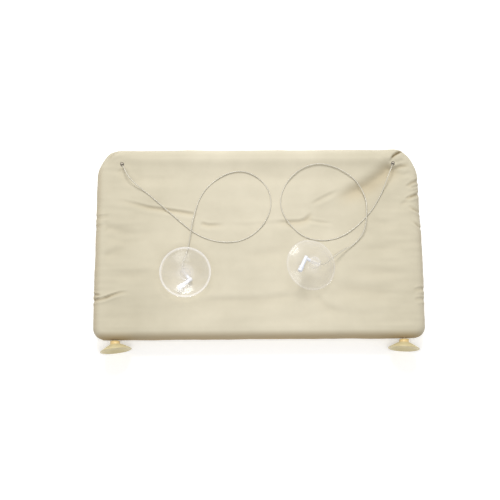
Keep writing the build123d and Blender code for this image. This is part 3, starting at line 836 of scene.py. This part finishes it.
def new_piece(name, mesh, slot, body="root", place=Matrix(), sharp=35):
    """An object of a mesh made in millimetres, moved by place and then into the model's frame."""
    mesh.transform(SEAT @ place)
    mesh.polygons.foreach_set("use_smooth", [True] * len(mesh.polygons))
    mesh.set_sharp_from_angle(angle=math.radians(sharp))
    mesh.materials.append(MATERIALS[slot])
    piece = add_object(name, mesh)
    if body is not None:
        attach(piece, body)
    return piece


def arc(start, middle, end, count):
    """Points from start to end on the circle through all three."""
    a, b, c = (complex(*point) for point in (start, middle, end))
    ratio = (c - a) / (b - a)
    centre = a + (b - a) * (ratio - abs(ratio) ** 2) / (2j * ratio.imag)
    turn, whole = (cmath.phase((point - centre) / (a - centre)) for point in (b, c))
    if turn * whole < 0:
        whole -= math.copysign(2 * math.pi, whole)
    return [on_arc((centre.real, centre.imag), abs(a - centre),
                   cmath.phase(a - centre) + whole * step / count)[:2]
            for step in range(count + 1)]


def rings_of(start, count, steps):
    """The indices of rings of points that follow each other."""
    return [range(start + ring * steps, start + (ring + 1) * steps) for ring in range(count)]


def tube(rings):
    """Faces between closed rings of points."""
    return [face for lower, upper in zip(rings, rings[1:])
            for face in zip(lower, [*lower[1:], lower[0]], [*upper[1:], upper[0]], upper)]


def lathe(profile, steps):
    """A mesh of a closed profile of (radius, height) turned about Z. It may start and end on the
    axis. The UV map holds the turn and the distance from the axis, in metres."""
    points, rings = [], []
    for radius, height in profile:
        if radius:
            rings += rings_of(len(points), 1, steps)
            points += [on_circle(radius, 2 * math.pi * step / steps, height)
                       for step in range(steps)]
        else:
            rings.append([len(points)] * steps)
            points.append((0, 0, height))
    if profile[0][0]:
        rings.append(rings[0])
    mesh = mesh_of("lathe", points, [list(dict.fromkeys(face)) for face in tube(rings)])
    layer = mesh.uv_layers.new(name="UVMap").data
    for loop in mesh.loops:
        x, y, _ = points[loop.vertex_index]
        layer[loop.index].uv = (math.atan2(y, x) / (2 * math.pi) + 0.5, math.hypot(x, y) / 1000)
    return mesh


def edited(mesh, change):
    """The mesh after a change to it as a bmesh."""
    made = bmesh.new()
    made.from_mesh(mesh)
    change(made)
    made.to_mesh(mesh)
    made.free()
    return mesh


def outward(mesh):
    """The mesh with its faces turned outward."""
    return edited(mesh, lambda made: bmesh.ops.recalc_face_normals(made, faces=made.faces))


def applied(mesh, kind, **settings):
    """The mesh after a modifier."""
    holder = add_object("holder", mesh)
    modifier = holder.modifiers.new(kind, kind)
    for key, value in settings.items():
        setattr(modifier, key, value)
    bpy.context.view_layer.update()
    depsgraph = bpy.context.evaluated_depsgraph_get()
    made = bpy.data.meshes.new_from_object(holder.evaluated_get(depsgraph))
    bpy.data.objects.remove(holder)
    return made


def joined(mesh, tool, operation):
    """The mesh with a tool mesh added to it or cut from it."""
    holder = add_object("tool", tool)
    made = applied(mesh, "BOOLEAN", operation=operation, object=holder, solver="EXACT")
    bpy.data.objects.remove(holder)
    return made


def rod(start, end, radius, steps=48):
    """A closed round bar from one point to another."""
    length = (end - start).length
    mesh = outward(lathe([(0, 0), (radius, 0), (radius, length), (0, length)], steps))
    turn = (end - start).to_track_quat("Z", "Y").to_matrix().to_4x4()
    mesh.transform(Matrix.Translation(start) @ turn)
    return mesh


# Upper suction cups and their toggles

POST_HOLE, POST_HOLE_RADIUS, POST_HOLE_REACH = 15.5, 3, 11
STEM_PLACE = 25.5  # along the toggle's bar


def upper_cup_mesh(hole_angle):
    """A cup with its rim at the origin's height and its post up, with a cross hole in it."""
    profile = [(0, 22.5), (1.6, 22.5), (1.9, 22.75), (2.2, 23), (6.6, 23)]
    profile += arc((7, 23), (8.414, 22.414), (9, 21), 6)
    profile += [(9, 17), (9, 13.6)]
    profile += arc((9, 13.2), (9.75, 11), (11.8, 10.25), 6)
    profile += arc((12.6, 10.2), (27.4, 6.93), (41.6, 1.5), 22)
    profile += arc((41.7, 1.46), (42.95, 0.95), (42.5, 0), 8)
    profile += [(42.2, 0.02), (41.6, 0.1), (41, 0.02)]
    # Fine rings inside the rim
    for step in range(1, 9):
        profile.append((41 - 0.55 * step, 0.06 + 0.09 * step + (0.09 if step % 2 else -0.05)))
    profile += arc((35.9, 1.35), (20.5, 4.79), (6.6, 6.28), 20)
    profile += [(5.5, 6.3), (3, 6.3), (1.2, 6.2), (0, 6.2)]
    reach = Vector(on_circle(POST_HOLE_REACH, math.radians(hole_angle)))
    middle = Vector((0, 0, POST_HOLE))
    hole = rod(middle - reach, middle + reach, POST_HOLE_RADIUS)
    return joined(outward(lathe(profile, 128)), hole, "DIFFERENCE")


def toggle_mesh():
    """A nylon toggle, its bar along X from the thick end and its stem along Y."""
    profile = [(0, 0.35), (1.1, 0.35), (1.5, 0), (3.3, 0), (3.8, 0.12), (4.05, 0.45), (4.1, 0.8),
               (4.1, 4.2), (4, 4.5), (3.62, 4.75), (3.55, 5), (3.62, 5.25), (4, 5.5), (4.1, 5.8),
               (4.1, 9.2), (4, 9.55), (3.6, 9.85), (3.2, 10), (3.1, 10.3), (3.1, 16), (3.1, 27.9),
               (3, 28.45), (2.7, 28.85), (2.3, 29), (1, 29), (0.8, 28.8), (0, 28.8)]
    bar = outward(lathe(profile, 64))
    bar.transform(turned(90, "Y"))
    stem = outward(lathe([(0, 0), (2.5, 0), (2.5, 8.2), (2.4, 8.65), (2.1, 8.95), (1.7, 9),
                          (1.35, 9), (1.2, 8.8), (1.2, 7.6), (0, 7.6)], 48))
    stem.transform(Matrix.Translation((STEM_PLACE, 0, 0)) @ turned(-90, "X"))
    return joined(bar, stem, "UNION")


def add_upper_cup(side, seat, hole_angle, stand, end_tilt):
    """A cup at its seat and its toggle, with the stem in the post's hole."""
    cup = new_piece(f"{side}_suction_cup", upper_cup_mesh(hole_angle), "clear_vinyl", place=seat)
    # The left cup's vinyl is whiter along its rim and in its middle
    if side == "left":
        cup.data.materials[0] = MATERIALS["scuffed_vinyl"]
    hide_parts(f"{side}_upper_cup")
    along = (Matrix.Translation((0, 0, POST_HOLE)) @ turned(hole_angle + 90, "Z")
             @ turned(180 + end_tilt, "Y"))
    place = seat @ along @ Matrix.Translation((-STEM_PLACE, -stand, 0))
    toggle = new_piece(f"{side}_nylon_toggle", toggle_mesh(), "white_nylon", place=place)
    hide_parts(f"{side}_toggle")
    return toggle


# Lower suction cups

STUD_START, STUD_TOP, STUD_RADIUS = -12, 2.6, 3
THREAD_PITCH, THREAD_DEPTH, THREAD_FLANK = 1, 0.5, 3.2
NECK_START, NECK_LENGTH, NECK_PIVOT = 2, 5, 4.5


def stud_mesh():
    """A threaded stud along Z with the disc that the cup's neck is moulded round."""
    columns, rows = 40, 118
    points = []
    for row in range(rows + 1):
        height = STUD_START + (STUD_TOP - STUD_START) * row / rows
        for column in range(columns):
            share = column / columns
            phase = (height / THREAD_PITCH - share) % 1
            crest = 1 if row == rows else min(1, THREAD_FLANK * abs(phase - 0.5))
            radius = STUD_RADIUS - THREAD_DEPTH * (1 - crest if row else 1)
            points.append(on_circle(radius, 2 * math.pi * share, height))
    rings = rings_of(0, rows + 1, columns)
    faces = tube(rings) + [rings[0][::-1], rings[-1]]
    disc = lathe([(0, 2.6), (4.8, 2.6), (5, 2.8), (5, 3.8), (4.8, 4), (0, 4)], 48)
    return edited(mesh_of("stud", points, faces), lambda made: made.from_mesh(outward(disc)))


def neck_mesh(bend):
    """The soft collar from the stud to the cup, along Z, bent about Y to the cup's axis."""
    profile = [(3.15, 2), (7.9, 2), (8.35, 2.2), (8.5, 2.5), (8.35, 2.9), (8.1, 3.3), (7.95, 3.8),
               (7.9, 4.5), (7.95, 5.1), (8.1, 5.7), (8.35, 6.2), (8.47, 6.6), (8.5, 7), (4, 7),
               (2, 6.7), (2, 5.3), (4, 4.9), (5.1, 4.2), (5.1, 2.5), (3.15, 2.4)]
    mesh = outward(lathe(profile, 72))
    pivot = Vector((0, 0, NECK_PIVOT))
    for vertex in mesh.vertices:
        share = float(smooth((vertex.co.z - NECK_START) / NECK_LENGTH))
        vertex.co = pivot + turned(bend * share, "Y").to_3x3() @ (vertex.co - pivot)
    return mesh


def lower_cup_mesh():
    """A soft cup along Z from the middle of its neck, open at the far end."""
    profile = [(0, 2.5), (8.5, 2.5)]
    profile += arc((8.9, 2.6), (16.4, 6.3), (24.6, 11.4), 20)
    profile += arc((25, 11.7), (26, 12.7), (25.6, 13.5), 8)
    profile += [(25.2, 13.45), (24.6, 13.3), (24, 13.45), (23.6, 13.3), (23.2, 13.35)]
    profile += arc((22.8, 13.2), (12.5, 9.2), (3.4, 8.02), 18)
    profile += [(3, 8), (1.2, 8), (0.9, 7.8), (0, 7.8)]
    return outward(lathe(profile, 112))


def add_lower_cup(side, sign, bend):
    """The stud, its soft neck and the cup. Local Z leaves the rear edge towards the window."""
    edge = Matrix.Translation((sign * STUD_X, -RAIL_Y - HALF, 0)) @ turned(90, "X")
    pivot = edge @ Matrix.Translation((0, 0, NECK_PIVOT)) @ turned(-sign * bend, "Y")
    stud = new_piece(f"{side}_threaded_stud", stud_mesh(), "plated_steel", f"{side}_stud_body",
                     edge)
    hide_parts(f"{side}_lower_stud")
    cup = new_piece(f"{side}_foot_cup", lower_cup_mesh(), "cream_vinyl", f"{side}_cup_body", pivot)
    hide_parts(f"{side}_lower_cup")
    neck = new_piece(f"{side}_soft_neck", neck_mesh(-sign * bend), "amber_vinyl", None, edge)
    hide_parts(f"{side}_lower_neck")
    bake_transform(neck)


# Cable bushes in the front bends

BUSH_TURN, BUSH_SLOPE = 21.3, 43  # degrees round the bend, and from upright


def bush_place(sign):
    """Local Z leaves the bend's centre line, up and towards the seat."""
    turn, slope = math.radians(BUSH_TURN), math.radians(BUSH_SLOPE)
    x, y = math.sin(turn), math.cos(turn)
    centre = Vector((sign * (RAIL_X - FRONT_BEND + FRONT_BEND * x),
                     RAIL_Y - FRONT_BEND + FRONT_BEND * y, 0))
    axis = Vector((-sign * x * math.sin(slope), -y * math.sin(slope), math.cos(slope)))
    return Matrix.Translation(centre) @ axis.to_track_quat("Z", "Y").to_matrix().to_4x4()


def add_bush(side, sign):
    profile = [(1.1, 5.8), (3.4, 5.8), (3.4, 7), (2.3, 7), (2.3, 19.5)]
    profile += arc((2.3, 19.6), (2.22, 19.9), (2.06, 20), 4)
    profile += arc((1.98, 19.98), (1.86, 19.8), (1.8, 19.4), 4)
    profile += [(1.8, 12), (1.1, 11)]
    bush = new_piece(f"{side}_bush", outward(lathe(profile, 48)), "white_nylon",
                     place=bush_place(sign))
    # Painted shade: the white nylon bush is darkened to stand for the shade in its hole
    bush.data.materials[0] = MATERIALS["warm_nylon"]
    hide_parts(f"{side}_cable_bush")


# The cover's holes and stitches

BUSH_HOLE, STUD_HOLE = 3.2, 3.4  # radii
# A thread's (place along it, radius)
THREAD = [(-1, 0), (-0.8, 0.24), (-0.35, 0.36), (0.35, 0.36), (0.8, 0.24), (1, 0)]
THREAD_SIDES, THREAD_RISE, THREAD_FLAT = 6, 0.14, 0.8
STITCH_PITCH, STITCH_X, STITCH_OUT = 3, 221, 0.15
HEM_STITCHES, SIDE_STITCHES = 148, 25
HEM_INSETS, SIDE_INSET = (3.5, 8), 5.5


def stitch_mesh(places):
    """One mesh of stitches, each a short thread pressed into the cloth from below."""
    points, faces = [], []
    out = Vector((0, 0, -1))
    for middle, along in places:
        middle, along = Vector(middle), Vector(along)
        across = along.cross(out)
        faces += tube(rings_of(len(points), len(THREAD), THREAD_SIDES))
        for run, radius in THREAD:
            rise = THREAD_RISE * (1 - run * run)
            for step in range(THREAD_SIDES):
                turn = 2 * math.pi * step / THREAD_SIDES
                lift = rise + radius * math.cos(turn) * THREAD_FLAT
                points.append(middle + along * run + out * lift
                              + across * radius * math.sin(turn))
    return outward(edited(
        mesh_of("stitches", points, faces),
        lambda made: bmesh.ops.remove_doubles(made, verts=made.verts, dist=1e-5)))


def stitch_rows():
    """The middle and direction of each stitch, in the flap's double hem and its two sides."""
    places = []
    for index in range(HEM_STITCHES):
        for inset in HEM_INSETS:
            places.append(((STITCH_PITCH * index - STITCH_X, FLAP_FRONT - inset,
                            -HALF - FLAP_DROP - STITCH_OUT), (1, 0, 0)))
    for sign in (-1, 1):
        for index in range(SIDE_STITCHES):
            ahead = FLAP_FRONT - SIDE_INSET - STITCH_PITCH * index
            places.append(((sign * STITCH_X, ahead, -HALF - flap_drop(ahead) - STITCH_OUT),
                           (0, 1, 0)))
    return places


def add_cover():
    """The cover with its bush and stud holes, and the stitches that move with it."""
    mesh = applied(cover_mesh(), "SOLIDIFY", thickness=CLOTH, offset=-1)
    reach = Vector((0, 4, 0))
    for sign in (-1, 1):
        place = bush_place(sign)
        mouth = Vector((sign * STUD_X, -RAIL_Y - HALF, 0))
        for hole in (rod(place @ Vector((0, 0, 13)), place @ Vector((0, 0, 24)), BUSH_HOLE, 32),
                     rod(mouth - reach, mouth + reach, STUD_HOLE, 32)):
            mesh = joined(mesh, hole, "DIFFERENCE")
    cover = new_piece("fabric_cover", mesh, "cover_fabric", sharp=55)
    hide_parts("cover")
    stitches = new_piece("cover_stitches", stitch_mesh(stitch_rows()), "cover_fabric", sharp=80)


add_cover()
LEFT_SEAT = Matrix.Translation((*DENT_PLACE, 24)) @ turned(180, "X")
RIGHT_SEAT = Matrix.Translation((85.6, -45.6, 26.152)) @ turned(16, "Y")
toggles = {"left": add_upper_cup("left", LEFT_SEAT, 52.2, 12.6, 6),
           "right": add_upper_cup("right", RIGHT_SEAT, 154, 16.3, 0)}
add_lower_cup("left", -1, 7.5)
add_lower_cup("right", 1, 4)
add_bush("left", -1)
add_bush("right", 1)
